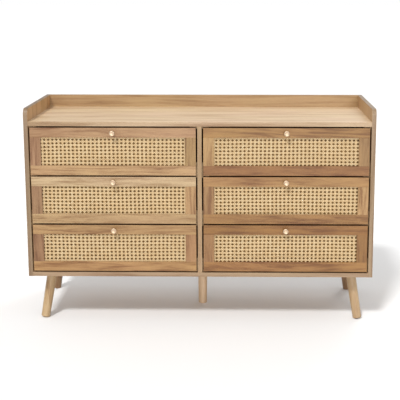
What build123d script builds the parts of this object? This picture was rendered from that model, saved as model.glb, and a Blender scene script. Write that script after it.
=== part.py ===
from build123d import *
import math
import os

# Six-drawer dresser: a carcass of 15 mm boards on five turned legs, a raised gallery round
# the top, and two columns of three inset drawers with cane-filled frame fronts.
# Frame: millimetres, +Z up, the front faces -Y, +X to the right seen from the front.
# Origin: bottom centre of the whole object, knobs included.

# ---------------------------------------------------------------- driving dimensions
W = 1200.0            # overall width
D = 400.0             # carcass depth, front edges to back edges
H = 760.0             # overall height, to the top of the gallery
T = 15.0              # carcass board thickness
KNOB_OUT = 20.0       # how far a knob stands out of its front
YF = -(D - KNOB_OUT) / 2          # front plane of carcass and drawer fronts
YB = YF + D                       # back plane
Z_BASE = 169.0        # underside of the bottom panel
Z_TOP = 715.0         # upper face of the top panel
Z_IN0 = Z_BASE + T    # inside, bottom
Z_IN1 = Z_TOP - T     # inside, top
X_IN = W / 2 - T      # inner face of the side panels
GALLERY_R = 20.0      # rounded front top corner of each side panel
BACK_T = 3.0          # hardboard back panels

# drawers
GAP_X = 5.0           # gap between a front and the board beside it
GAP_Z = 4.8           # gap above and below a front
BAY_W = X_IN - T / 2              # clear width of one bay
BAY_XC = (X_IN + T / 2) / 2       # centre of the right bay
FRONT_W = BAY_W - 2 * GAP_X
FRONT_H = (Z_IN1 - Z_IN0 - 4 * GAP_Z) / 3
FRAME_T = 16.0        # thickness of the front frame
RAIL_H = 34.0         # height of top and bottom rails
STILE_W = 36.75       # width of the stiles
LIP = 5.0             # frame lip in front of the cane
REBATE = 6.0          # rebate round the opening, behind the lip
CANE_T = 1.8          # woven cane sheet
TENON_L = 9.0         # stub tenon of each stile
TENON_T = 5.0
EDGE_R = 0.8          # eased edges

BOX_W = 562.0         # outer width of the drawer box
BOX_Z0 = 14.0         # box bottom edge above the front's lower edge
BOX_Z1 = 158.0        # box top edge above the front's lower edge
BOX_T = 12.0          # box sides, front and back
BOX_LEN = 340.0       # box sides, front to back
BOT_T = 5.0           # box bottom board
BOT_UP = 8.0          # box bottom above the lower edge of the sides
BOT_IN = 5.0          # how deep the bottom board sits in its grooves

# runners
RUN_W = 24.0          # runner batten width, out from the board it is screwed to
RUN_H = 24.0
RUN_CLEAR = 0.4       # under the box sides
GUIDE_T = 7.2         # guide strip beside the box
GUIDE_H = 30.0
RUN_Y0 = YF + FRAME_T + 1.0       # the closed front stops 1 mm short of the battens
RUN_Y1 = YB - BACK_T - 10.0

# knobs
KNOB_R = 9.75
KNOB_DROP = 17.0      # knob axis below the front's upper edge
SCREW_R = 2.0

# legs
LEG_R_TOP = 17.6
LEG_R_FOOT = 15.4
LEG_TAN = 0.156       # splay, sideways and fore-and-aft
PLATE = 62.0
PLATE_T = 2.5
Z_LEG = Z_BASE - PLATE_T
FEET = {
    "leg_front_left": (-558.0, YF + 54.0, 1, 1),
    "leg_front_right": (558.0, YF + 54.0, -1, 1),
    "leg_back_left": (-579.0, YF + 372.0, 1, -1),
    "leg_back_right": (558.0, YF + 372.0, -1, -1),
    "leg_centre": (0.0, YF + 214.0, 0, 0),
}

ROWS = {"lower": Z_IN0 + GAP_Z, "middle": Z_IN0 + 2 * GAP_Z + FRONT_H, "upper": Z_IN0 + 3 * GAP_Z + 2 * FRONT_H}
COLS = {"left": -BAY_XC, "right": BAY_XC}

DOWEL_R = 4.0
DOWEL_Y = (YF + 30.0, YF + 175.0, YF + 305.0)

os.makedirs("parts", exist_ok=True)


def xz(y):
    """Plane facing the front at depth y; sketch x is X and sketch y is Z."""
    return Plane.XZ.offset(-y)


def save(part, label):
    part.label = label
    export_step(part, f"parts/{label}.step")


# ---------------------------------------------------------------- hardware positions
# Dowels: (centre, direction, half length)
dowels_x = [(s * X_IN, y, z) for s in (-1, 1) for y in DOWEL_Y for z in (Z_TOP - T / 2, Z_BASE + T / 2)]
dowels_x += [(s * X_IN, YB - T / 2, (Z_TOP + H) / 2) for s in (-1, 1)]
dowels_z = [(0.0, y, z) for y in DOWEL_Y for z in (Z_IN1, Z_IN0)]
dowels_y = [(x, YB - T, Z_TOP - T / 2) for x in (-400.0, 0.0, 400.0)]
DOWEL_HALF_X = 11.0
DOWEL_HALF_Z = 9.5

# Runner battens: (x of the board face, direction into the bay, bottom, top)
board_faces = [(-X_IN, 1), (-T / 2, -1), (T / 2, 1), (X_IN, -1)]
levels = [(Z_IN0, ROWS["lower"] + BOX_Z0 - RUN_CLEAR)]
for key in ("middle", "upper"):
    z = ROWS[key] + BOX_Z0 - RUN_CLEAR
    levels.append((z - RUN_H, z))
levels.append((ROWS["upper"] + BOX_Z1 + 2.0, Z_IN1))

# Runner screws, staggered on the two sides of the divider
runner_screws = []
for face, s in board_faces:
    ys = (RUN_Y0 + 40, (RUN_Y0 + RUN_Y1) / 2, RUN_Y1 - 40)
    if face > 0:
        ys = tuple(y + 14 for y in ys)
    for z0, z1 in levels:
        for y in ys:
            runner_screws.append((face, s, y, (z0 + z1) / 2))


def legs_top(name):
    x, y, sx, sy = FEET[name]
    return x + sx * LEG_TAN * Z_LEG, y + sy * LEG_TAN * Z_LEG


def leg_axis(name):
    x, y, sx, sy = FEET[name]
    return Vector(sx * LEG_TAN, sy * LEG_TAN, 1.0).normalized()


plate_screws = []
for name in FEET:
    tx, ty = legs_top(name)
    for ax in (-1, 1):
        for ay in (-1, 1):
            plate_screws.append((tx + ax * 23.0, ty + ay * 23.0))


def cut_dowels_x():
    for x, y, z in dowels_x:
        with Locations(Location((x, y, z), (0, 90, 0))):
            Cylinder(DOWEL_R + 0.05, 2 * DOWEL_HALF_X + 0.6, mode=Mode.SUBTRACT)


def cut_dowels_z():
    for x, y, z in dowels_z:
        with Locations((x, y, z)):
            Cylinder(DOWEL_R + 0.05, 2 * DOWEL_HALF_Z + 0.6, mode=Mode.SUBTRACT)


def cut_dowels_y():
    for x, y, z in dowels_y:
        with Locations(Location((x, y, z), (90, 0, 0))):
            Cylinder(DOWEL_R + 0.05, 2 * DOWEL_HALF_Z + 0.6, mode=Mode.SUBTRACT)


def cut_runner_screws(which):
    for face, s, y, z in runner_screws:
        if which(face):
            with Locations(Location((face - s * 5.0, y, z), (0, 90, 0))):
                Cylinder(1.8, 10.4, mode=Mode.SUBTRACT)


# ---------------------------------------------------------------- carcass
# Side panels run from the bottom panel up past the top to form the gallery ends,
# with one rounded corner at the front top.
for label, sx in (("side_panel_left", -1), ("side_panel_right", 1)):
    with BuildPart() as side_panel:
        with BuildSketch(Plane.YZ.offset(min(sx * X_IN, sx * W / 2))) as outline:
            with Locations(((YF + YB) / 2, (Z_BASE + H) / 2)):
                Rectangle(D, H - Z_BASE)
            fillet(outline.vertices().group_by(Axis.Y)[-1].sort_by(Axis.X)[0], radius=GALLERY_R)
        extrude(amount=T)
        fillet(side_panel.faces().filter_by(Axis.X).edges(), radius=EDGE_R)
        cut_dowels_x()
        cut_runner_screws(lambda f: abs(f) > 100 and f * sx > 0)
    save(side_panel.part, label)

# Top panel between the side panels, in front of the gallery rail.
with BuildPart() as top_panel:
    with BuildSketch(Plane.XY.offset(Z_IN1)):
        with Locations((0, (YF + YB - T) / 2)):
            Rectangle(2 * X_IN, D - T)
    extrude(amount=T)
    fillet(top_panel.edges().filter_by(Axis.X).group_by(Axis.Y)[0], radius=EDGE_R)
    cut_dowels_x()
    cut_dowels_y()
    cut_dowels_z()
save(top_panel.part, "top_panel")

# Bottom panel between the side panels; the hardboard back laps its rear edge.
with BuildPart() as bottom_panel:
    with BuildSketch(Plane.XY.offset(Z_BASE)):
        with Locations((0, (YF + YB - BACK_T) / 2)):
            Rectangle(2 * X_IN, D - BACK_T)
    extrude(amount=T)
    fillet(bottom_panel.edges().filter_by(Axis.X).group_by(Axis.Y)[0], radius=EDGE_R)
    cut_dowels_x()
    cut_dowels_z()
    for x, y in plate_screws:
        with Locations((x, y, Z_BASE + 5.4)):
            Cylinder(1.8, 11.2, mode=Mode.SUBTRACT)
save(bottom_panel.part, "bottom_panel")

# Centre divider between top and bottom panel.
with BuildPart() as centre_divider:
    with BuildSketch(Plane.XY.offset(Z_IN0)):
        with Locations((0, (YF + YB - BACK_T) / 2)):
            Rectangle(T, D - BACK_T)
    extrude(amount=Z_IN1 - Z_IN0)
    fillet(centre_divider.edges().filter_by(Axis.Z).group_by(Axis.Y)[0], radius=EDGE_R)
    cut_dowels_z()
    for face, s, y, z in runner_screws:
        if abs(face) < 100:
            with Locations(Location((face - s * 5.0, y, z), (0, 90, 0))):
                Cylinder(1.8, 10.4, mode=Mode.SUBTRACT)
save(centre_divider.part, "centre_divider")

# Gallery rail across the back edge of the top panel, standing up past it.
with BuildPart() as back_gallery_rail:
    with BuildSketch(Plane.XY.offset(Z_IN1)):
        with Locations((0, YB - T / 2)):
            Rectangle(2 * X_IN, T)
    extrude(amount=H - Z_IN1)
    fillet(back_gallery_rail.edges().filter_by(Axis.X).group_by(Axis.Z)[-1], radius=EDGE_R)
    cut_dowels_x()
    cut_dowels_y()
save(back_gallery_rail.part, "back_gallery_rail")

# Two hardboard back panels, meeting on the divider's rear edge.
with BuildPart() as back_panels:
    with BuildSketch(xz(YB)):
        for s in (-1, 1):
            with Locations((s * (X_IN + 0.25) / 2, (Z_BASE + Z_IN1) / 2)):
                Rectangle(X_IN - 0.25, Z_IN1 - Z_BASE)
    extrude(amount=BACK_T)
save(back_panels.part, "back_panels")

# Runner battens: each carries the drawer above it and keeps the drawer below from tipping.
with BuildPart() as runner_battens:
    for face, s in board_faces:
        for z0, z1 in levels:
            with Locations((face + s * RUN_W / 2, (RUN_Y0 + RUN_Y1) / 2, (z0 + z1) / 2)):
                Box(RUN_W, RUN_Y1 - RUN_Y0, z1 - z0)
    for face, s, y, z in runner_screws:
        with Locations(Location((face + s * RUN_W / 2, y, z), (0, 90, 0))):
            Cylinder(1.8, RUN_W, mode=Mode.SUBTRACT)
        with Locations(Location((face + s * (RUN_W - 1.1), y, z), (0, 90, 0))):
            Cylinder(3.7, 2.2, mode=Mode.SUBTRACT)
save(runner_battens.part, "runner_battens")

# Guide strips standing on the battens, beside each drawer box.
with BuildPart() as guide_strips:
    for face, s in board_faces:
        for key in ROWS:
            zt = ROWS[key] + BOX_Z0 - RUN_CLEAR
            with Locations((face + s * GUIDE_T / 2, (RUN_Y0 + RUN_Y1) / 2, zt + GUIDE_H / 2)):
                Box(GUIDE_T, RUN_Y1 - RUN_Y0, GUIDE_H)
save(guide_strips.part, "guide_strips")

# Pan-head screws through the battens into the boards.
with BuildPart() as runner_screw_set:
    for face, s, y, z in runner_screws:
        with Locations(Location((face + s * (RUN_W - 1.1), y, z), (0, 90, 0))):
            Cylinder(3.5, 2.0)
        with Locations(Location((face + s * (RUN_W - 2.1 - 9.5) / 2, y, z), (0, 90, 0))):
            Cylinder(1.7, RUN_W - 2.1 + 9.5)
save(runner_screw_set.part, "runner_screws")

# Hardwood dowels in the carcass joints.
with BuildPart() as carcass_dowels:
    for x, y, z in dowels_x:
        with Locations(Location((x, y, z), (0, 90, 0))):
            Cylinder(DOWEL_R, 2 * DOWEL_HALF_X)
    for x, y, z in dowels_y:
        with Locations(Location((x, y, z), (90, 0, 0))):
            Cylinder(DOWEL_R, 2 * DOWEL_HALF_Z)
    for x, y, z in dowels_z:
        with Locations((x, y, z)):
            Cylinder(DOWEL_R, 2 * DOWEL_HALF_Z)
save(carcass_dowels.part, "carcass_dowels")

# ---------------------------------------------------------------- legs
# Turned tapered legs, splayed at the four corners and upright at the middle. The feet are
# cut square to the leg, so a splayed leg stands on the inner side of its rim; the upper
# ends are cut level under their plates, and each is bored for a hanger bolt.
FOOT_R = 1.5
for label in FEET:
    fx, fy, sx, sy = FEET[label]
    axis = leg_axis(label)
    tilt = math.acos(axis.Z)
    zc = FOOT_R * (1 - math.cos(tilt)) + (LEG_R_FOOT - FOOT_R) * math.sin(tilt)
    foot = Vector(fx, fy, 0) + axis * (zc / axis.Z)
    length = (Z_LEG - zc) / axis.Z
    extra = 12.0
    slope = (LEG_R_TOP - LEG_R_FOOT) / length
    with BuildPart(Plane(origin=foot, z_dir=axis)) as leg:
        Cone(
            LEG_R_FOOT,
            LEG_R_TOP + slope * extra,
            length + extra,
            align=(Align.CENTER, Align.CENTER, Align.MIN),
        )
        fillet(leg.faces().sort_by(Axis.Z)[0].edges(), radius=FOOT_R)
        split(bisect_by=Plane.XY.offset(Z_LEG), keep=Keep.BOTTOM)
        with BuildSketch(Plane(origin=foot + axis * (length - 40.0), z_dir=axis)):
            Circle(4.05)
        extrude(amount=60.0, mode=Mode.SUBTRACT)
    print(label, "lowest point", round(leg.part.bounding_box().min.Z, 4))
    save(leg.part, label)

# Steel leg plates under the bottom panel, and the hanger bolt of each leg.
with BuildPart() as leg_plates:
    for label in FEET:
        tx, ty = legs_top(label)
        with BuildSketch(Plane.XY.offset(Z_LEG)):
            with Locations((tx, ty)):
                RectangleRounded(PLATE, PLATE, 6.0)
        extrude(amount=PLATE_T)
    for x, y in plate_screws:
        with Locations((x, y, Z_LEG + PLATE_T / 2)):
            Cylinder(2.0, PLATE_T + 1, mode=Mode.SUBTRACT)
    for label in FEET:
        tx, ty = legs_top(label)
        axis = leg_axis(label)
        with BuildSketch(Plane(origin=Vector(tx, ty, Z_LEG) - axis * 20.0, z_dir=axis)):
            Circle(4.3)
        extrude(amount=40.0, mode=Mode.SUBTRACT)
with BuildPart() as hanger_bolts:
    for label in FEET:
        tx, ty = legs_top(label)
        axis = leg_axis(label)
        with BuildSketch(Plane(origin=Vector(tx, ty, Z_LEG) - axis * 39.0, z_dir=axis)):
            Circle(3.95)
        extrude(amount=60.0)
    split(bisect_by=Plane.XY.offset(Z_BASE - 0.1), keep=Keep.BOTTOM)
save(Compound(children=[*leg_plates.solids(), *hanger_bolts.solids()]), "leg_plates")

# Pan-head screws holding the plates, four to each.
with BuildPart() as leg_plate_screws:
    for x, y in plate_screws:
        with Locations((x, y, Z_LEG - 0.9)):
            Cylinder(3.4, 1.8)
        with Locations((x, y, Z_LEG + 6.4)):
            Cylinder(1.7, 12.8)
save(leg_plate_screws.part, "leg_plate_screws")

# ---------------------------------------------------------------- drawers
OPEN_W = FRONT_W - 2 * STILE_W
OPEN_H = FRONT_H - 2 * RAIL_H
Y_LIP = YF + LIP                  # back of the lip, where the cane lies
Y_FR = YF + FRAME_T               # back of the frame, front of the box
Y_BI = Y_FR + BOX_T               # inner face of the box front
Y_BB = Y_FR + BOX_T + BOX_LEN     # rear end of the box sides
GROOVE = BOT_T + 0.2

for col in COLS:
    for row in ROWS:
        xc, z0 = COLS[col], ROWS[row]
        zc = z0 + FRONT_H / 2
        kz = z0 + FRONT_H - KNOB_DROP
        name = f"{row}_{col}"

        # Front frame: two full-width rails, two stiles tenoned between them, and the
        # four beads that hold the cane in its rebate.
        with BuildPart() as rails:
            for s in (-1, 1):
                with BuildSketch(xz(YF)):
                    with Locations((xc, zc + s * (FRONT_H - RAIL_H) / 2)):
                        Rectangle(FRONT_W, RAIL_H)
                extrude(amount=-FRAME_T)
            rim = rails.faces().group_by(Axis.Y)[0].edges()
            fillet(rim, radius=EDGE_R)
            with BuildSketch(xz(Y_FR)):
                with Locations((xc, zc)):
                    Rectangle(OPEN_W + 2 * REBATE, OPEN_H + 2 * REBATE)
            extrude(amount=FRAME_T - LIP, mode=Mode.SUBTRACT)
            with BuildSketch(xz(YF + 5.5 + TENON_T)):
                for sx in (-1, 1):
                    with Locations((xc + sx * (FRONT_W / 2 - 14.0), zc)):
                        Rectangle(18.4, OPEN_H + 2 * TENON_L + 0.4)
            extrude(amount=TENON_T + 0.2, mode=Mode.SUBTRACT)
            with BuildSketch(xz(YF - 1)):
                with Locations((xc, kz)):
                    Circle(SCREW_R + 0.25)
            extrude(amount=-(FRAME_T + 2), mode=Mode.SUBTRACT)
        with BuildPart() as stiles:
            for sx in (-1, 1):
                with BuildSketch(xz(YF)):
                    with Locations((xc + sx * (FRONT_W - STILE_W) / 2, zc)):
                        Rectangle(STILE_W, OPEN_H)
                extrude(amount=-FRAME_T)
            upright = stiles.edges().filter_by(Axis.Z).group_by(Axis.Y)[0]
            fillet(upright, radius=EDGE_R)
            with BuildSketch(xz(Y_FR)):
                with Locations((xc, zc)):
                    Rectangle(OPEN_W + 2 * REBATE, OPEN_H + 2)
            extrude(amount=FRAME_T - LIP, mode=Mode.SUBTRACT)
            with BuildSketch(xz(YF + 5.4 + TENON_T)):
                for sx in (-1, 1):
                    with Locations((xc + sx * (FRONT_W / 2 - 14.0), zc)):
                        Rectangle(18.0, OPEN_H + 2 * TENON_L)
            extrude(amount=TENON_T - 0.2)
        with BuildPart() as beads:
            bw, bh = OPEN_W + 2 * REBATE - 0.4, OPEN_H + 2 * REBATE - 0.4
            for s in (-1, 1):
                with BuildSketch(xz(Y_FR)):
                    with Locations((xc, zc + s * (bh - REBATE) / 2)):
                        Rectangle(bw, REBATE)
                extrude(amount=FRAME_T - LIP - CANE_T)
                with BuildSketch(xz(Y_FR)):
                    with Locations((xc + s * (bw - REBATE) / 2, zc)):
                        Rectangle(REBATE, bh - 2 * REBATE - 0.2)
                extrude(amount=FRAME_T - LIP - CANE_T)
        save(Compound(children=[*rails.solids(), *stiles.solids(), *beads.solids()]), f"{name}_front_frame")

        # Sheet of woven cane, clamped between the lip and the beads.
        with BuildPart() as cane_panel:
            with BuildSketch(xz(Y_LIP + CANE_T)):
                with Locations((xc, zc)):
                    Rectangle(OPEN_W + 2 * REBATE - 1.0, OPEN_H + 2 * REBATE - 1.0)
            extrude(amount=CANE_T)
        save(cane_panel.part, f"{name}_cane_panel")

        # Turned brass knob and the machine screw that holds it from inside the drawer.
        with BuildPart() as knob:
            with BuildSketch(Plane(origin=(xc, YF, kz), x_dir=(1, 0, 0), z_dir=(0, 0, 1))):
                with BuildLine():
                    Polyline((0, 0), (5.6, 0), (5.6, -1.6), (4.2, -2.6), (3.9, -7.0), (4.6, -9.5))
                    ThreePointArc((4.6, -9.5), (8.6, -12.6), (KNOB_R, -16.4))
                    ThreePointArc((KNOB_R, -16.4), (9.2, -18.9), (7.3, -KNOB_OUT))
                    Polyline((7.3, -KNOB_OUT), (5.6, -19.2), (3.4, -18.7), (0, -18.5), (0, 0))
                make_face()
            revolve(axis=Axis((xc, YF, kz), (0, 1, 0)))
            with BuildSketch(xz(YF + 1)):
                with Locations((xc, kz)):
                    Circle(SCREW_R + 0.05)
            extrude(amount=12.5, mode=Mode.SUBTRACT)
        with BuildPart() as knob_screw:
            with BuildSketch(xz(Y_BI)):
                with Locations((xc, kz)):
                    Circle(SCREW_R)
            extrude(amount=FRAME_T + BOX_T + 11.0)
            with BuildSketch(xz(Y_BI)):
                with Locations((xc, kz)):
                    Circle(4.0)
            extrude(amount=-2.4)
            chamfer(knob_screw.faces().sort_by(Axis.Y)[-1].edges(), length=0.7)
        save(Compound(children=[*knob.solids(), *knob_screw.solids()]), f"{name}_knob")

        # Drawer box front, behind the frame and seen through the cane.
        with BuildPart() as box_front:
            with BuildSketch(xz(Y_BI)):
                with Locations((xc, z0 + (BOX_Z0 + BOX_Z1) / 2)):
                    Rectangle(BOX_W, BOX_Z1 - BOX_Z0)
                with Locations((xc, kz)):
                    Circle(SCREW_R + 0.25, mode=Mode.SUBTRACT)
            extrude(amount=BOX_T)
            with BuildSketch(xz(Y_BI)):
                with Locations((xc, z0 + BOX_Z0 + BOT_UP + BOT_T / 2)):
                    Rectangle(BOX_W - 2 * BOX_T + 2 * BOT_IN, GROOVE)
            extrude(amount=BOT_IN, mode=Mode.SUBTRACT)
        save(box_front.part, f"{name}_box_front")

        # Drawer box sides, grooved for the bottom board.
        with BuildPart() as box_sides:
            with BuildSketch(Plane.XY.offset(z0 + BOX_Z0)):
                for sx in (-1, 1):
                    with Locations((xc + sx * (BOX_W - BOX_T) / 2, (Y_BI + Y_BB) / 2)):
                        Rectangle(BOX_T, Y_BB - Y_BI)
            extrude(amount=BOX_Z1 - BOX_Z0)
            fillet(box_sides.edges().filter_by(Axis.Y).group_by(Axis.Z)[-1], radius=1.2)
            with BuildSketch(Plane.XY.offset(z0 + BOX_Z0 + BOT_UP - 0.1)):
                with Locations((xc, (Y_BI + Y_BB) / 2)):
                    Rectangle(BOX_W - 2 * BOX_T + 2 * BOT_IN, Y_BB - Y_BI)
            extrude(amount=GROOVE, mode=Mode.SUBTRACT)
        save(box_sides.part, f"{name}_box_sides")

        # Drawer box back, between the sides.
        with BuildPart() as box_back:
            with BuildSketch(xz(Y_BB)):
                with Locations((xc, z0 + (BOX_Z0 + BOX_Z1) / 2)):
                    Rectangle(BOX_W - 2 * BOX_T, BOX_Z1 - BOX_Z0)
            extrude(amount=BOX_T)
            fillet(box_back.edges().filter_by(Axis.X).group_by(Axis.Z)[-1], radius=1.2)
            with BuildSketch(xz(Y_BB - BOX_T + BOT_IN)):
                with Locations((xc, z0 + BOX_Z0 + BOT_UP + BOT_T / 2)):
                    Rectangle(BOX_W, GROOVE)
            extrude(amount=BOT_IN, mode=Mode.SUBTRACT)
        save(box_back.part, f"{name}_box_back")

        # Drawer bottom board, held in grooves all round.
        with BuildPart() as box_bottom:
            with BuildSketch(Plane.XY.offset(z0 + BOX_Z0 + BOT_UP)):
                yb0, yb1 = Y_BI - BOT_IN + 0.2, Y_BB - BOX_T + BOT_IN - 0.2
                with Locations((xc, (yb0 + yb1) / 2)):
                    Rectangle(BOX_W - 2 * BOX_T + 2 * BOT_IN - 0.4, yb1 - yb0)
            extrude(amount=BOT_T)
        save(box_bottom.part, f"{name}_box_bottom")

print("front", FRONT_W, FRONT_H, "opening", OPEN_W, OPEN_H, "bay centre", BAY_XC)
print("rows", ROWS)
print("box interior z", [round(ROWS[r] + BOX_Z0 + BOT_UP + BOT_T, 2) for r in ROWS], "y", Y_BI, Y_BB - BOX_T)
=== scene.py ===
import math
import bpy
import numpy as np
from mathutils import Matrix, Vector


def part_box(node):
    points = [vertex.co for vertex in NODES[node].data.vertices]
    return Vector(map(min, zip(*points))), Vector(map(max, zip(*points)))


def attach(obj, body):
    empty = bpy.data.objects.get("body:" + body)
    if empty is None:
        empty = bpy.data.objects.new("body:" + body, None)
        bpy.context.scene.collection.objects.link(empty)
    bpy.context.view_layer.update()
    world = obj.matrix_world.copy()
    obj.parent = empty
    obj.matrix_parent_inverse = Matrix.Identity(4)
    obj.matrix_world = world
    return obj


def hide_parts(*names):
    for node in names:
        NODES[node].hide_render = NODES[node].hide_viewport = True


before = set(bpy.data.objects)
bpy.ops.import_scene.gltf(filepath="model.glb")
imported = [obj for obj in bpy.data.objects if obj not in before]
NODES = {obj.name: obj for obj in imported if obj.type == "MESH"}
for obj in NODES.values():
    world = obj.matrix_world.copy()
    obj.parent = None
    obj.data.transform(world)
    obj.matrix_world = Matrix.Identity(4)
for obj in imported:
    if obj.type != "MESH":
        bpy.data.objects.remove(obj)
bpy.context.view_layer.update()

ROWS = ("upper", "middle", "lower")
COLS = ("left", "right")
LIGHT = 1.64            # radiance that a white front face has in this light

# ------------------------------------------------------------------ node helpers


def lin(c):
    """Display colour 0-255 to linear."""
    out = []
    for v in c:
        v = v / 255.0
        out.append(v / 12.92 if v <= 0.04045 else ((v + 0.055) / 1.055) ** 2.4)
    return out


def albedo(c, light=None):
    return [min(0.95, v / (light or LIGHT)) for v in lin(c)] + [1.0]


class Tree:
    """A material's nodes, made by short calls."""

    def __init__(self, name):
        self.mat = bpy.data.materials.new(name)
        self.mat.use_nodes = True
        self.t = self.mat.node_tree
        self.t.nodes.clear()
        self.out = self.t.nodes.new("ShaderNodeOutputMaterial")
        self.bsdf = self.t.nodes.new("ShaderNodeBsdfPrincipled")
        self.t.links.new(self.bsdf.outputs[0], self.out.inputs["Surface"])

    def put(self, socket, value):
        if isinstance(value, bpy.types.NodeSocket):
            self.t.links.new(value, socket)
        else:
            socket.default_value = value

    def math(self, op, a, b=0.0, clamp=False):
        n = self.t.nodes.new("ShaderNodeMath")
        n.operation = op
        n.use_clamp = clamp
        self.put(n.inputs[0], a)
        self.put(n.inputs[1], b)
        return n.outputs[0]

    def vmath(self, op, a, b):
        n = self.t.nodes.new("ShaderNodeVectorMath")
        n.operation = op
        self.put(n.inputs[0], a)
        self.put(n.inputs[1], b)
        return n.outputs[0]

    def objco(self):
        return self.t.nodes.new("ShaderNodeTexCoord").outputs["Object"]

    def attr(self, name):
        n = self.t.nodes.new("ShaderNodeAttribute")
        n.attribute_type = "GEOMETRY"
        n.attribute_name = name
        return n.outputs["Vector"]

    def split(self, v):
        n = self.t.nodes.new("ShaderNodeSeparateXYZ")
        self.put(n.inputs[0], v)
        return n.outputs[0], n.outputs[1], n.outputs[2]

    def join(self, x, y, z):
        n = self.t.nodes.new("ShaderNodeCombineXYZ")
        self.put(n.inputs[0], x)
        self.put(n.inputs[1], y)
        self.put(n.inputs[2], z)
        return n.outputs[0]

    def noise(self, vec, scale=1.0, detail=2.0, rough=0.5, distortion=0.0, color=False):
        n = self.t.nodes.new("ShaderNodeTexNoise")
        n.noise_dimensions = "3D"
        self.put(n.inputs["Vector"], vec)
        n.inputs["Scale"].default_value = scale
        n.inputs["Detail"].default_value = detail
        n.inputs["Roughness"].default_value = rough
        n.inputs["Distortion"].default_value = distortion
        return n.outputs["Color" if color else "Fac"]

    def ramp(self, fac, stops, mode="LINEAR"):
        n = self.t.nodes.new("ShaderNodeValToRGB")
        n.color_ramp.interpolation = mode
        e = n.color_ramp.elements
        while len(e) < len(stops):
            e.new(0.5)
        for i, (p, c) in enumerate(stops):
            e[i].position = p
            e[i].color = (c, c, c, 1.0) if isinstance(c, (int, float)) else (*c[:3], 1.0)
        self.put(n.inputs[0], fac)
        return n.outputs[0]

    def mix(self, fac, a, b, blend="MIX"):
        n = self.t.nodes.new("ShaderNodeMix")
        n.data_type = "RGBA"
        n.blend_type = blend
        self.put(n.inputs[0], fac)
        self.put(n.inputs[6], a)
        self.put(n.inputs[7], b)
        return n.outputs[2]

    def bump(self, height, strength, distance, normal=None):
        n = self.t.nodes.new("ShaderNodeBump")
        n.inputs["Strength"].default_value = strength
        n.inputs["Distance"].default_value = distance
        self.put(n.inputs["Height"], height)
        if normal is not None:
            self.put(n.inputs["Normal"], normal)
        self.t.links.new(n.outputs[0], self.bsdf.inputs["Normal"])
        return n.outputs[0]

    def set(self, **kw):
        for k, v in kw.items():
            self.put(self.bsdf.inputs[k.replace("_", " ")], v)


def grain(t, along, across, depth, seed, tint, contrast=1.0, pink=0.35, rough=0.46, figure=1.0, fine=1.0, tone=0.0):
    """Oak-look wood. along, across and depth are sockets in metres; tint is the board's mean colour."""
    s = (seed * 3.173 + 1.3, seed * 1.711 + 0.7, seed * 0.931 + 0.2)
    if isinstance(seed, bpy.types.NodeSocket):
        raise TypeError("seed is a number")
    v = t.join(t.math("ADD", along, s[0]), t.math("ADD", across, s[1]), t.math("ADD", depth, s[2]))
    return grain_on(t, v, tint, contrast, pink, rough, figure, fine, tone)


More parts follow.
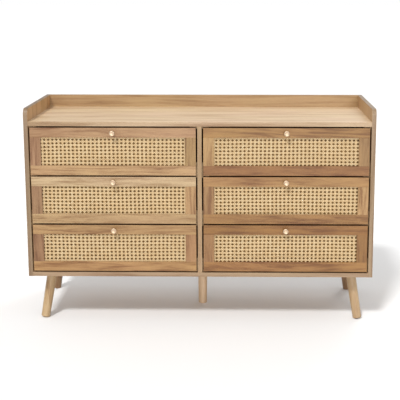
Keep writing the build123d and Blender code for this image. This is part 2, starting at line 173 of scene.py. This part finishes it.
def grain_on(t, v, tint, contrast=1.0, pink=0.35, rough=0.46, figure=1.0, fine=1.0, tone=0.0):
    # The long lines bend slowly, which makes the arched figure of sawn boards.
    bend = t.noise(t.vmath("MULTIPLY", v, (1.7, 9.0, 9.0)), 1.0, 2.0, 0.5)
    bend = t.math("MULTIPLY", t.math("SUBTRACT", bend, 0.5), 0.055)
    a, c, d = t.split(v)
    cw = t.math("ADD", t.math("ADD", c, t.math("MULTIPLY", d, 0.8)), bend)
    w = t.join(a, cw, d)
    broad = t.noise(t.vmath("MULTIPLY", w, (2.6 * fine * fine, 42.0 * fine, 42.0 * fine)), 1.0, 4.0, 0.62, 0.3)
    uneven = t.noise(t.vmath("MULTIPLY", v, (0.9, 17.0, 17.0)), 1.0, 2.0, 0.6)
    rings = t.math("SINE", t.math("ADD", t.math("MULTIPLY", cw, 2 * math.pi / 0.0145), t.math("MULTIPLY", uneven, 9.0)), 0.0)
    rings = t.math("ADD", t.math("MULTIPLY", rings, 0.5), 0.5)
    where = t.noise(t.vmath("MULTIPLY", v, (2.2, 13.0, 13.0)), 1.0, 1.0, 0.5)
    where = t.ramp(where, [(0.42, 0.0), (0.62, 1.0)])
    fibre = t.noise(t.vmath("MULTIPLY", w, (9.0, 420.0, 420.0)), 1.0, 3.0, 0.65)
    pores = t.noise(t.vmath("MULTIPLY", w, (45.0, 1500.0, 1500.0)), 1.0, 2.0, 0.5)
    pores = t.ramp(pores, [(0.30, 1.0), (0.42, 0.0)])
    f = t.math("MULTIPLY", t.math("SUBTRACT", broad, 0.5), 2.3 * contrast)
    f = t.math("ADD", f, t.math("MULTIPLY", t.math("MULTIPLY", t.math("SUBTRACT", rings, 0.5), where), 0.30 * figure * contrast))
    f = t.math("ADD", f, t.math("MULTIPLY", t.math("SUBTRACT", fibre, 0.5), 0.75 * contrast))
    if tone:
        # whole stretches of a board run lighter or darker
        slow = t.noise(t.vmath("MULTIPLY", v, (4.2, 16.0, 16.0)), 1.0, 2.0, 0.55)
        f = t.math("ADD", f, t.math("MULTIPLY", t.math("SUBTRACT", slow, 0.5), tone))
    f = t.math("ADD", f, 0.5, clamp=True)
    shade = t.ramp(f, [(0.0, (0.50, 0.405, 0.325)), (0.30, (0.70, 0.655, 0.60)), (0.55, (0.84, 0.835, 0.83)), (1.0, (0.97, 1.0, 1.0))])
    col = t.mix(1.0, tint, shade, "MULTIPLY")
    # slow drift between pinker and more golden wood
    drift = t.noise(t.vmath("MULTIPLY", v, (2.6, 7.0, 7.0)), 1.0, 2.0, 0.5)
    drift = t.ramp(drift, [(0.38, 0.0), (0.62, 1.0)])
    warm = t.mix(drift, (1.0, 0.94, 0.93, 1.0), (0.98, 1.0, 0.86, 1.0))
    col = t.mix(pink, col, t.mix(1.0, col, warm, "MULTIPLY"))
    col = t.mix(t.math("MULTIPLY", pores, 0.30), col, t.mix(1.0, col, (0.50, 0.42, 0.36, 1.0), "MULTIPLY"))
    t.set(Base_Color=col)
    t.set(Roughness=t.math("ADD", t.math("MULTIPLY", fibre, 0.16), rough - 0.08))
    height = t.math("SUBTRACT", t.math("MULTIPLY", fibre, 0.6), t.math("MULTIPLY", pores, 0.5))
    t.bump(height, 0.22, 0.0004)
    t.bsdf.inputs["IOR"].default_value = 1.45
    return t.mat


def wood(name, axis, seed, tint, **kw):
    """Wood for a CAD node: axis is the grain's direction."""
    t = Tree(name)
    x, y, z = t.split(t.objco())
    order = {"X": (x, y, z), "Y": (y, x, z), "Z": (z, y, x)}[axis]
    edge = kw.pop("edge", None)
    colour = [v / 0.80 for v in albedo(tint)[:3]] + [1.0]
    if edge is not None:
        # the banded edges are a separate strip with its own tint
        which, edge_tint = edge
        nx, ny, nz = t.split(t.t.nodes.new("ShaderNodeNewGeometry").outputs["Normal"])
        if which == "face_x":
            is_edge = t.math("LESS_THAN", t.math("ABSOLUTE", nx), 0.7)
        else:
            is_edge = t.math("LESS_THAN", ny, -0.7)
        colour = t.mix(is_edge, colour, [v / 0.80 for v in albedo(edge_tint)[:3]] + [1.0])
    return grain(t, *order, seed, colour, **kw)


def front_wood(name, xc, zc, half_w, half_h, tints, seed):
    """The four boards of a drawer frame: rails run along X and stiles along Z, each with its own cut and tint.
    tints: top rail, bottom rail, left stile, right stile."""
    t = Tree(name)
    x, y, z = t.split(t.objco())
    dz = t.math("SUBTRACT", z, zc)
    rail = t.math("GREATER_THAN", t.math("ABSOLUTE", dz), 0.0488)
    top = t.math("GREATER_THAN", dz, 0.0)
    right = t.math("GREATER_THAN", x, xc)
    not_rail = t.math("SUBTRACT", 1.0, rail)
    along = t.math("ADD", t.math("MULTIPLY", x, rail), t.math("MULTIPLY", z, not_rail))
    across = t.math("ADD", t.math("MULTIPLY", z, rail), t.math("MULTIPLY", x, not_rail))
    board = t.math("ADD", t.math("MULTIPLY", rail, t.math("ADD", top, 1.0)),
                   t.math("MULTIPLY", not_rail, t.math("ADD", right, 3.0)))
    along = t.math("ADD", along, t.math("MULTIPLY", board, 2.37))
    across = t.math("ADD", across, t.math("MULTIPLY", board, 0.731))
    cols = [[v / 0.80 for v in albedo(c)[:3]] + [1.0] for c in tints]
    rails = t.mix(top, cols[1], cols[0])
    stiles = t.mix(right, cols[2], cols[3])
    tint = t.mix(rail, stiles, rails)
    # painted shade: the outer edges, in the gaps between drawers, get a dark brown that stands in for the shade in the
    # gaps, on top of the board's own browner edge
    outer_x = t.math("GREATER_THAN", t.math("ABSOLUTE", t.math("SUBTRACT", x, xc)), half_w - 0.0003)
    outer_z = t.math("GREATER_THAN", t.math("ABSOLUTE", dz), half_h - 0.0003)
    tint = t.mix(t.math("MAXIMUM", outer_x, outer_z), tint, albedo((128, 86, 48)))
    return grain(t, along, across, y, seed, tint, contrast=1.35, pink=0.45, rough=0.44, figure=0.7, fine=1.6, tone=1.2)


def assign(node, mat):
    for s in NODES[node].material_slots:
        s.material = mat


# ------------------------------------------------------------------ carcass
CARCASS = {
    "side_panel_left": ("Z", 1, (223, 180, 129), ("face_x", (160, 134, 105))),
    "side_panel_right": ("Z", 2, (226, 187, 140), ("face_x", (172, 145, 115))),
    # painted light: the top panel's tint is lighter than the other carcass boards of the same wood, standing in for
    # the sheen and brighter light on the top
    "top_panel": ("X", 3, (255, 223, 184), ("front", (202, 172, 139))),
    "bottom_panel": ("X", 4, (190, 155, 118), ("front", (180, 150, 120))),
    "centre_divider": ("Z", 5, (190, 157, 122), ("front", (192, 160, 123))),
    "back_gallery_rail": ("X", 6, (196, 160, 114), None),
}
for node, (axis, seed, tint, edge) in CARCASS.items():
    assign(node, wood("carcass_" + node, axis, seed, tint, edge=edge, contrast=0.85, pink=0.4, rough=0.45))
LEGS = {
    # painted light: the centre leg's tint is lighter than the front legs to make up for the shade it stands in under
    # the body
    "leg_front_left": (208, 176, 135), "leg_front_right": (209, 178, 138), "leg_centre": (242, 209, 174),
    # painted shade: the back legs' tint is darker than the front legs for the shade under the body
    "leg_back_left": (168, 132, 96), "leg_back_right": (168, 132, 96),
}
for i, (node, tint) in enumerate(LEGS.items()):
    assign(node, wood("turned_" + node, "Z", 20 + i, tint, contrast=0.8, pink=0.3, rough=0.42))
assign("runner_battens", wood("batten_beech", "Y", 31, (205, 168, 122), contrast=0.6, figure=0.3, rough=0.5))
assign("guide_strips", wood("guide_beech", "Y", 32, (212, 176, 130), contrast=0.55, figure=0.3, rough=0.5))
assign("carcass_dowels", wood("dowel_beech", "X", 33, (214, 180, 136), contrast=0.6, figure=0.2, rough=0.55))


def hardboard(name, tint, seed):
    t = Tree(name)
    v = t.vmath("ADD", t.objco(), (seed * 1.1, seed * 0.7, seed * 0.3))
    fleck = t.noise(v, 420.0, 3.0, 0.7)
    cloud = t.noise(v, 6.0, 3.0, 0.5)
    f = t.math("ADD", t.math("MULTIPLY", fleck, 0.8), t.math("MULTIPLY", cloud, 0.2), clamp=True)
    base = albedo(tint)
    dark = [v * 0.72 for v in base[:3]] + [1.0]
    light = [v * 1.22 for v in base[:3]] + [1.0]
    t.set(Base_Color=t.mix(t.ramp(f, [(0.35, 0.0), (0.65, 1.0)]), dark, light))
    t.set(Roughness=t.math("ADD", t.math("MULTIPLY", fleck, 0.2), 0.55))
    t.bump(fleck, 0.12, 0.0003)
    return t.mat


assign("back_panels", hardboard("back_hardboard", (150, 112, 76), 1))


def steel(name, tint, rough, metallic=1.0, speck=700.0):
    t = Tree(name)
    v = t.objco()
    n = t.noise(v, speck, 2.0, 0.6)
    m = t.noise(v, 60.0, 2.0, 0.5)
    base = albedo(tint, 1.0)
    t.set(Base_Color=t.mix(n, [c * 0.82 for c in base[:3]] + [1.0], base))
    t.bsdf.inputs["Metallic"].default_value = metallic
    t.set(Roughness=t.math("ADD", t.math("MULTIPLY", m, 0.22), rough - 0.1))
    t.bump(n, 0.08, 0.0002)
    return t.mat


ZINC = steel("zinc_plated_steel", (200, 200, 196), 0.36)
assign("runner_screws", ZINC)
assign("leg_plate_screws", ZINC)
assign("leg_plates", steel("black_powder_coat", (34, 33, 32), 0.5, metallic=0.0, speck=1500.0))


# ------------------------------------------------------------------ cane
def attribute_vector(me, name, data):
    a = me.attributes.new(name, "FLOAT_VECTOR", "POINT")
    a.data.foreach_set("vector", np.asarray(data, np.float32).ravel())


SECTION = np.array([(-0.5, 0.10), (-0.30, -0.16), (-0.10, -0.235), (0.10, -0.235), (0.30, -0.16), (0.5, 0.10), (0.0, 0.18)])
K = len(SECTION)


class Weave:
    def __init__(self):
        self.v, self.f, self.g, self.n = [], [], [], 0

    def strand(self, pts, width, ident):
        """pts: (n, 3) in mm as x, z and depth (behind is positive)."""
        pts = np.asarray(pts, float)
        n = len(pts)
        if n < 2:
            return
        xyz = np.column_stack([pts[:, 0], pts[:, 2], pts[:, 1]])
        d = np.gradient(xyz[:, [0, 2]], axis=0)
        d /= np.linalg.norm(d, axis=1)[:, None]
        perp = np.column_stack([-d[:, 1], np.zeros(n), d[:, 0]])
        ring = xyz[:, None, :] + SECTION[None, :, 0, None] * width * perp[:, None, :]
        ring[:, :, 1] += SECTION[None, :, 1]
        s = np.concatenate([[0], np.cumsum(np.linalg.norm(np.diff(xyz, axis=0), axis=1))])
        co = np.zeros((n, K, 3))
        co[:, :, 0] = s[:, None] / 1000.0
        co[:, :, 1] = SECTION[None, :, 0]
        co[:, :, 2] = ident
        base = self.n + np.arange(n - 1)[:, None] * K
        k = np.arange(K)[None, :]
        k1 = (np.arange(K)[None, :] + 1) % K
        quads = np.stack([base + k, base + k1, base + K + k1, base + K + k], axis=-1).reshape(-1, 4)
        self.v.append(ring.reshape(-1, 3))
        self.g.append(co.reshape(-1, 3))
        self.f.append(quads)
        a, b = self.n, self.n + (n - 1) * K
        for r, flip in ((a, True), (b, False)):
            caps = [(0, 1, 5, 6), (1, 2, 4, 5), (2, 3, 4, 4)]
            for c in caps[:2]:
                q = [r + i for i in c]
                self.f.append(np.array([q[::-1] if not flip else q]))
            q = [r + 2, r + 3, r + 4]
            self.f.append(np.array([[*(q[::-1] if not flip else q), -1]]))
        self.n += n * K

    def mesh(self, name, y0):
        v = np.concatenate(self.v) / 1000.0
        v[:, 1] += y0
        f = np.concatenate(self.f)
        g = np.concatenate(self.g)
        tri = f[:, 3] < 0
        # signed volume tells which way the faces look
        q = f[~tri]
        p0, p1, p2, p3 = (v[q[:, i]] for i in range(4))
        vol = np.einsum("ij,ij->i", p0, np.cross(p1, p2)).sum() + np.einsum("ij,ij->i", p0, np.cross(p2, p3)).sum()
        sizes = np.where(tri, 3, 4)
        if vol < 0:
            f = np.where(tri[:, None], f[:, [2, 1, 0, 3]], f[:, [3, 2, 1, 0]])
        loops = f.reshape(-1)
        loops = loops[loops >= 0]
        starts = np.concatenate([[0], np.cumsum(sizes)[:-1]])
        me = bpy.data.meshes.new(name)
        me.vertices.add(len(v))
        me.vertices.foreach_set("co", v.astype(np.float32).ravel())
        me.loops.add(len(loops))
        me.loops.foreach_set("vertex_index", loops.astype(np.int32))
        me.polygons.add(len(f))
        me.polygons.foreach_set("loop_start", starts.astype(np.int32))
        me.polygons.foreach_set("use_smooth", np.ones(len(f), bool))
        me.update(calc_edges=True)
        me.validate()
        attribute_vector(me, "gco", g)
        return me


def cane_mesh(name, xc, zc, first_x, first_z, pitch_x, pitch_z, seed):
    """Woven cane: pairs of upright and level strands between square-set holes, and single diagonals that
    cross over the pairs half way between holes. first_x and first_z: mm from the opening's left and upper
    edge to the first hole's centre."""
    rng = np.random.default_rng(seed)
    half_w, half_h = 252.4, 54.2          # cut size of the sheet
    ox, oz = -247.0 + first_x, 48.8 - first_z
    w_pair, gap, w_diag = 2.25, 0.35, 2.0
    g = (w_pair + gap) / 2
    a_pair, a_diag = 0.24, 0.47
    phase = rng.uniform(0, 6.28, 8)

    def warp(x, z):
        dx = 0.45 * np.sin(x / 61.0 + phase[0]) + 0.35 * np.sin(z / 23.0 + x / 97.0 + phase[1])
        dz = 0.45 * np.sin(x / 83.0 + phase[2]) + 0.25 * np.sin(x / 31.0 + z / 40.0 + phase[3])
        return x + dx, z + dz

    def lay(x, z, depth, width, ident):
        x, z = np.asarray(x, float), np.asarray(z, float)
        x, z = warp(x, z)
        wv.strand(np.column_stack([np.clip(x, -half_w - 0.6, half_w + 0.6), np.clip(z, -half_h - 0.6, half_h + 0.6), depth]),
                  width * rng.uniform(0.95, 1.05), ident)

    wv = Weave()
    ident = 0.0

    def levels(lo, hi, origin, pitch):
        """Sample places along a strand with the depth sign at each crossing pair."""
        out = [(lo, 0, 0)]
        j0, j1 = int(math.floor((lo - origin) / pitch)) - 1, int(math.ceil((hi - origin) / pitch)) + 1
        for j in range(j0, j1 + 1):
            mid = origin + (j + 0.5) * pitch
            for d, k in ((-pitch / 2, 0), (-3.4, 0), (-g, 1), (0.0, 0), (g, 2), (3.4, 0)):
                p = mid + d
                if lo + 0.4 < p < hi - 0.4:
                    out.append((p, k, j))
        out.append((hi, 0, 0))
        return out

    # upright pairs
    zs = levels(-half_h, half_h, oz, pitch_z)
    zz = np.array([p[0] for p in zs])
    i0, i1 = int(math.floor((-half_w - ox) / pitch_x)) - 1, int(math.ceil((half_w - ox) / pitch_x)) + 1
    for i in range(i0, i1 + 1):
        for k in (0, 1):
            x = ox + (i + 0.5) * pitch_x + (g if k else -g) + rng.normal(0, 0.10)
            if abs(x) > half_w - w_pair / 2:
                continue
            depth = np.array([0.0 if m == 0 else (a_pair if (m + k) % 2 else -a_pair) for _, m, _ in zs])
            ident += 1.0
            lay(np.full(len(zz), x), zz, depth, w_pair, ident)
    # level pairs
    xs = levels(-half_w, half_w, ox, pitch_x)
    xx = np.array([p[0] for p in xs])
    j0, j1 = int(math.floor((-half_h - oz) / pitch_z)) - 1, int(math.ceil((half_h - oz) / pitch_z)) + 1
    for j in range(j0, j1 + 1):
        for k in (0, 1):
            z = oz + (j + 0.5) * pitch_z + (g if k else -g) + rng.normal(0, 0.10)
            if abs(z) > half_h - w_pair / 2:
                continue
            # over where the upright is under: upright k' at level strand m: sign (m + k')
            depth = np.array([0.0 if m == 0 else (-a_pair if ((k + 1) + (m - 1)) % 2 else a_pair) for _, m, _ in xs])
            ident += 1.0
            lay(xx, np.full(len(xx), z), depth, w_pair, ident)
    # diagonals
    for sign in (1, -1):
        lo_u, hi_u = (-half_w - ox) / pitch_x, (half_w - ox) / pitch_x
        lo_w, hi_w = (-half_h - oz) / pitch_z, (half_h - oz) / pitch_z
        ks = range(int(math.floor(lo_w - hi_u)) - 2, int(math.ceil(hi_w - lo_u)) + 3) if sign == 1 else \
            range(int(math.floor(lo_w + lo_u)) - 2, int(math.ceil(hi_w + hi_u)) + 3)
        for kk in ks:
            c = kk + 0.5                       # w = sign * u + c
            if sign == 1:
                a, b = max(lo_u, lo_w - c), min(hi_u, hi_w - c)
            else:
                a, b = max(lo_u, c - hi_w), min(hi_u, c - lo_w)
            if b - a < 0.25:
                continue
            u = np.arange(math.ceil(a * 6 + 0.2), math.floor(b * 6 - 0.2) + 1) / 6.0
            u = np.concatenate([[a], u, [b]])
            w = sign * u + c
            depth = a_diag * sign * np.cos(2 * math.pi * u)
            ident += 1.0
            lay(ox + u * pitch_x, oz + w * pitch_z, depth, w_diag, ident)
    me = wv.mesh(name, -0.18409)
    me.transform(Matrix.Translation((xc, 0, zc)))
    return me


def cane_material():
    t = Tree("woven_cane")
    g = t.attr("gco")
    s, w, ident = t.split(g)
    strand = t.noise(t.join(t.math("MULTIPLY", s, 1.6), 0.37, t.math("MULTIPLY", ident, 3.7)), 1.0, 1.0, 0.5)
    streak = t.noise(t.join(t.math("MULTIPLY", s, 22.0), t.math("MULTIPLY", w, 5.5), ident), 1.0, 3.0, 0.6)
    fine = t.noise(t.join(t.math("MULTIPLY", s, 130.0), t.math("MULTIPLY", w, 19.0), ident), 1.0, 2.0, 0.6)
    f = t.math("ADD", t.math("MULTIPLY", strand, 0.55), t.math("ADD", t.math("MULTIPLY", streak, 0.35), t.math("MULTIPLY", fine, 0.2)))
    base = [albedo(c) for c in ((206, 164, 106), (246, 209, 153), (254, 231, 186))]
    col = t.ramp(f, [(0.34, base[0]), (0.52, base[1]), (0.74, base[2])])
    node = t.noise(t.join(t.math("MULTIPLY", s, 7.0), 0.5, t.math("MULTIPLY", ident, 11.3)), 1.0, 1.0, 0.5)
    node = t.ramp(node, [(0.71, 0.0), (0.78, 1.0)])
    col = t.mix(t.math("MULTIPLY", node, 0.45), col, t.mix(1.0, col, (0.60, 0.44, 0.30, 1.0), "MULTIPLY"))
    t.set(Base_Color=col, Roughness=t.math("ADD", t.math("MULTIPLY", fine, 0.2), 0.30))
    t.bump(t.math("ADD", t.math("MULTIPLY", fine, 0.6), t.math("MULTIPLY", streak, 0.4)), 0.25, 0.0002)
    t.bsdf.inputs["IOR"].default_value = 1.5
    return t.mat


CANE = cane_material()
# mm from the opening's left and upper edges to the first hole, and the pitches
LATTICE = {
    ("upper", "left"): (11.7, 8.7, 13.95, 12.42), ("upper", "right"): (8.3, 9.3, 13.78, 12.45),
    ("middle", "left"): (11.7, 5.0, 13.95, 12.50), ("middle", "right"): (8.0, 6.0, 13.80, 12.50),
    ("lower", "left"): (11.9, 13.8, 13.93, 12.50), ("lower", "right"): (8.3, 10.0, 13.80, 12.48),
}
FRONT_TINTS = {
    ("upper", "left"): [(183, 142, 104), (193, 154, 110), (174, 133, 97), (170, 134, 86)],
    ("upper", "right"): [(170, 127, 74), (158, 110, 64), (191, 152, 101), (165, 126, 82)],
    ("middle", "left"): [(202, 172, 133), (189, 153, 111), (161, 123, 87), (184, 144, 98)],
    ("middle", "right"): [(177, 132, 83), (163, 119, 69), (178, 137, 92), (193, 152, 104)],
    ("lower", "left"): [(182, 143, 95), (184, 140, 90), (158, 118, 82), (174, 130, 88)],
    ("lower", "right"): [(156, 109, 57), (168, 120, 69), (165, 121, 79), (153, 109, 60)],
}
for r, row in enumerate(ROWS):
    for c, col in enumerate(COLS):
        key = f"{row}_{col}"
        body = f"{row}_{col}_drawer"
        lo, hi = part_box(f"{key}_front_frame")
        xc, zc = (lo.x + hi.x) / 2, (lo.z + hi.z) / 2
        k = 3 * c + r
        assign(f"{key}_front_frame", front_wood(f"front_{key}", xc, zc, (hi.x - lo.x) / 2, (hi.z - lo.z) / 2, FRONT_TINTS[row, col], 40 + 5 * k))
        me = cane_mesh(f"{key}_cane_weave", xc, zc, *LATTICE[row, col], 100 + k)
        me.materials.append(CANE)
        cane = bpy.data.objects.new(f"{key}_cane_weave", me)
        bpy.context.scene.collection.objects.link(cane)
        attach(cane, body)
        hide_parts(f"{key}_cane_panel")

        # painted shade: the box front's tint is darker and more olive than the other box boards, deepening the shade
        # seen through the cane's holes
        assign(f"{key}_box_front", wood(f"boxfront_{key}", "X", 60 + k, (172, 130, 66), contrast=0.6, figure=0.5, rough=0.55))
        assign(f"{key}_box_back", wood(f"boxback_{key}", "X", 70 + k, (188, 150, 108), contrast=0.6, figure=0.5, rough=0.55))
        assign(f"{key}_box_sides", wood(f"boxsides_{key}", "Y", 80 + k, (188, 150, 108), contrast=0.6, figure=0.5, rough=0.55))
        assign(f"{key}_box_bottom", hardboard(f"boxbottom_{key}", (184, 148, 108), 2 + k))

        # turned brass: fine rings round the knob's own axis
        lo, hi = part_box(f"{key}_knob")
        kx, kz = (lo.x + hi.x) / 2, (lo.z + hi.z) / 2
        t = Tree(f"knob_brass_{key}")
        x, y, z = t.split(t.objco())
        dx, dz = t.math("SUBTRACT", x, kx), t.math("SUBTRACT", z, kz)
        rad = t.math("SQRT", t.math("ADD", t.math("MULTIPLY", dx, dx), t.math("MULTIPLY", dz, dz)))
        rings = t.noise(t.join(t.math("MULTIPLY", rad, 2600.0), t.math("MULTIPLY", y, 2200.0), k + 0.5), 1.0, 2.0, 0.6)
        patch = t.noise(t.objco(), 160.0, 2.0, 0.5)
        is_screw = t.math("GREATER_THAN", y, -0.1645)
        brass = t.mix(t.math("ADD", t.math("MULTIPLY", rings, 0.5), t.math("MULTIPLY", patch, 0.5)), (0.54, 0.39, 0.26, 1.0), (0.68, 0.53, 0.38, 1.0))
        zinc = t.mix(rings, (0.50, 0.50, 0.48, 1.0), (0.66, 0.66, 0.63, 1.0))
        t.set(Base_Color=t.mix(is_screw, brass, zinc))
        t.bsdf.inputs["Metallic"].default_value = 1.0
        t.set(Roughness=t.math("ADD", t.math("MULTIPLY", rings, 0.16), 0.42))
        t.bump(rings, 0.10, 0.00005)
        assign(f"{key}_knob", t.mat)

# ------------------------------------------------------------------ floor, light, camera
me = bpy.data.meshes.new("floor")
R = 40.0
me.from_pydata([(-R, -R, 0), (R, -R, 0), (R, R, 0), (-R, R, 0)], [], [(0, 1, 2, 3)])
floor = bpy.data.objects.new("floor", me)
bpy.context.scene.collection.objects.link(floor)
t = Tree("pale_floor")
t.bsdf.inputs["Base Color"].default_value = (0.92, 0.92, 0.92, 1.0)
t.bsdf.inputs["Roughness"].default_value = 0.9
t.bsdf.inputs["Specular IOR Level"].default_value = 0.1
me.materials.append(t.mat)


def area(name, azimuth, elevation, distance, size, watts, colour=(1, 1, 1), aim=(0, 0, 0.4)):
    a, e = math.radians(azimuth), math.radians(elevation)
    light = bpy.data.lights.new(name, "AREA")
    light.shape = "DISK"
    light.size = size
    light.energy = watts
    light.color = colour
    o = bpy.data.objects.new(name, light)
    bpy.context.scene.collection.objects.link(o)
    back = Vector((math.sin(a) * math.cos(e), -math.cos(a) * math.cos(e), math.sin(e)))
    o.location = Vector(aim) + back * distance
    o.rotation_mode = "QUATERNION"
    o.rotation_quaternion = back.to_track_quat("Z", "Y")
    o.visible_camera = False
    return o


def sun(name, azimuth, elevation, strength, angle):
    a, e = math.radians(azimuth), math.radians(elevation)
    light = bpy.data.lights.new(name, "SUN")
    light.energy = strength
    light.angle = math.radians(angle)
    o = bpy.data.objects.new(name, light)
    bpy.context.scene.collection.objects.link(o)
    back = Vector((math.sin(a) * math.cos(e), -math.cos(a) * math.cos(e), math.sin(e)))
    o.location = back * 4.0
    o.rotation_mode = "QUATERNION"
    o.rotation_quaternion = back.to_track_quat("Z", "Y")
    return o


sun("key", -22, 50, 2.00, 9.0)
sun("front_fill", 6, 8, 1.20, 14.0)
area("back_fill", 150, 35, 5.0, 2.5, 45)

world = bpy.data.worlds.new("studio")
bpy.context.scene.world = world
world.use_nodes = True
wt = world.node_tree
wt.nodes.clear()
out = wt.nodes.new("ShaderNodeOutputWorld")
seen = wt.nodes.new("ShaderNodeBackground")
lit = wt.nodes.new("ShaderNodeBackground")
seen.inputs["Strength"].default_value = 1.0
seen.inputs["Color"].default_value = (1, 1, 1, 1)
lit.inputs["Strength"].default_value = 0.62
lit.inputs["Color"].default_value = (1, 1, 1, 1)
path = wt.nodes.new("ShaderNodeLightPath")
both = wt.nodes.new("ShaderNodeMixShader")
wt.links.new(path.outputs["Is Camera Ray"], both.inputs[0])
wt.links.new(lit.outputs[0], both.inputs[1])
wt.links.new(seen.outputs[0], both.inputs[2])
wt.links.new(both.outputs[0], out.inputs["Surface"])

scene = bpy.context.scene
scene.view_settings.view_transform = "Standard"
scene.view_settings.look = "None"

cam = bpy.data.cameras.new("camera")
cam.sensor_width = 36.0
cam.lens = 82.601
cam.shift_x = -0.07
cam.shift_y = -0.155
cam.clip_start, cam.clip_end = 0.05, 200.0
cam_obj = bpy.data.objects.new("camera", cam)
scene.collection.objects.link(cam_obj)
cam_obj.location = (0.1390, -3.2655, 1.1898)
cam_obj.rotation_euler = (math.radians(90 - 9.757), 0, math.radians(0.777))
scene.camera = cam_obj

bpy.context.view_layer.update()
